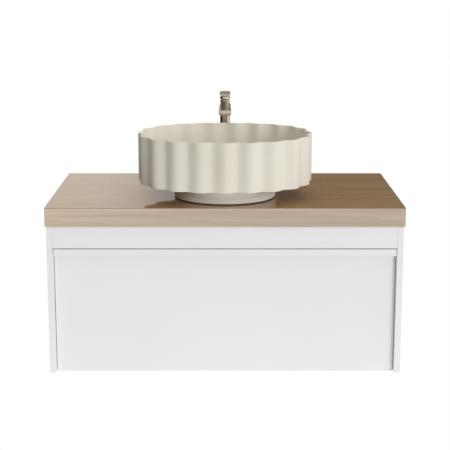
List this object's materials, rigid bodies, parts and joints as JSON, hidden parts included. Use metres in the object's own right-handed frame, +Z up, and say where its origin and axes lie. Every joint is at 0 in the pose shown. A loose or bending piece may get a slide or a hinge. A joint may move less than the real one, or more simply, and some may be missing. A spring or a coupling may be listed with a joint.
{
  "type": "vessel sink on vanity",
  "caption": "Wall-hung vanity with a thick wood worktop, one full-width drawer, a fluted oval vessel basin and a single-lever tap.",
  "frame": {"origin": "on the wall, at the middle of the worktop's back edge: centre of its width and of its thickness", "axes": "+X to the right along the wall, +Y into the wall, +Z up; the front faces -Y"},
  "size_m": [1, 0.529, 0.7556],
  "materials": {
    "oak_top": "glossy sealed oak, grain along the width",
    "oak_edge": "satin oak edging, grain along the width",
    "white_lacquer": "satin white lacquer on board",
    "ivory_ceramic": "matt warm ivory",
    "sealant": "matt silicone",
    "chrome": "polished",
    "brushed_nickel": "brushed warm nickel",
    "black_rubber": "matt",
    "white_plastic": "moulded",
    "zinc_plate": "bright zinc plate",
    "runner_steel": "galvanised",
    "drawer_board": "textile-look melamine board"
  },
  "bodies": {
    "vanity": {"worktop_core": "oak_top", "worktop_front_band": "oak_edge", "worktop_left_band": "oak_edge", "worktop_right_band": "oak_edge", "left_side_panel": "white_lacquer", "right_side_panel": "white_lacquer", "fascia_panel": "white_lacquer", "front_stretcher": "white_lacquer", "bottom_panel": "white_lacquer", "rear_hanging_rail": "white_lacquer", "rear_lower_rail": "white_lacquer", "left_wall_plate": "zinc_plate", "left_hanger": "zinc_plate", "right_wall_plate": "zinc_plate", "right_hanger": "zinc_plate", "basin": "ivory_ceramic", "basin_seal": "sealant", "waste_body": "chrome", "waste_top_gasket": "black_rubber", "waste_bottom_gasket": "black_rubber", "waste_nut": "chrome", "trap_inlet_nut": "chrome", "trap_dip_tube": "chrome", "trap_body": "chrome", "trap_cup": "chrome", "trap_outlet_nut": "chrome", "trap_outlet_pipe": "chrome", "trap_wall_rosette": "chrome", "tap_base_ring": "brushed_nickel", "tap_column": "brushed_nickel", "tap_spout": "brushed_nickel", "tap_aerator": "white_plastic", "tap_cartridge": "white_plastic", "tap_cartridge_nut": "zinc_plate", "tap_shank": "zinc_plate", "tap_rubber_washer": "black_rubber", "tap_horseshoe_washer": "zinc_plate", "tap_fixing_nut": "zinc_plate", "tap_hot_inlet": "zinc_plate", "tap_cold_inlet": "zinc_plate", "left_runner_cabinet": "runner_steel", "right_runner_cabinet": "runner_steel"},
    "drawer": {"drawer_front": "white_lacquer", "drawer_grip_lip": "white_lacquer", "drawer_left_side": "drawer_board", "drawer_left_back": "drawer_board", "drawer_notch_left": "drawer_board", "drawer_right_side": "drawer_board", "drawer_right_back": "drawer_board", "drawer_notch_right": "drawer_board", "drawer_notch_front": "drawer_board", "drawer_bottom": "drawer_board", "left_runner_drawer": "runner_steel", "right_runner_drawer": "runner_steel"},
    "left_middle": {"left_runner_middle": "runner_steel"},
    "right_middle": {"right_runner_middle": "runner_steel"},
    "plug": {"waste_plug": "brushed_nickel"},
    "hub": {"tap_hub": "brushed_nickel", "tap_lever_pin": "runner_steel"},
    "lever": {"tap_lever": "brushed_nickel"}
  },
  "joints": [
    {"name": "drawer_slide", "type": "slide", "parent": "vanity", "child": "drawer", "axis": [0, -1, 0], "range_m": [0, 0.38]},
    {"name": "left_runner_slide", "type": "slide", "parent": "vanity", "child": "left_middle", "axis": [0, -1, 0], "range_m": [0, 0.19]},
    {"name": "right_runner_slide", "type": "slide", "parent": "vanity", "child": "right_middle", "axis": [0, -1, 0], "range_m": [0, 0.19]},
    {"name": "plug_lift", "type": "slide", "parent": "vanity", "child": "plug", "axis": [0, 0, 1], "range_m": [0, 0.008]},
    {"name": "lever_swivel", "type": "hinge", "parent": "vanity", "child": "hub", "pos_m": [0, -0.088, 0.28], "axis": [0, 0, 1], "range_deg": [-45, 45]},
    {"name": "lever_lift", "type": "hinge", "parent": "hub", "child": "lever", "pos_m": [0, -0.088, 0.273], "axis": [-1, 0, 0], "range_deg": [0, 25]}
  ],
  "couplings": [
    {"joint": "left_runner_slide", "follows": "drawer_slide", "ratio": 0.5},
    {"joint": "right_runner_slide", "follows": "drawer_slide", "ratio": 0.5}
  ]
}
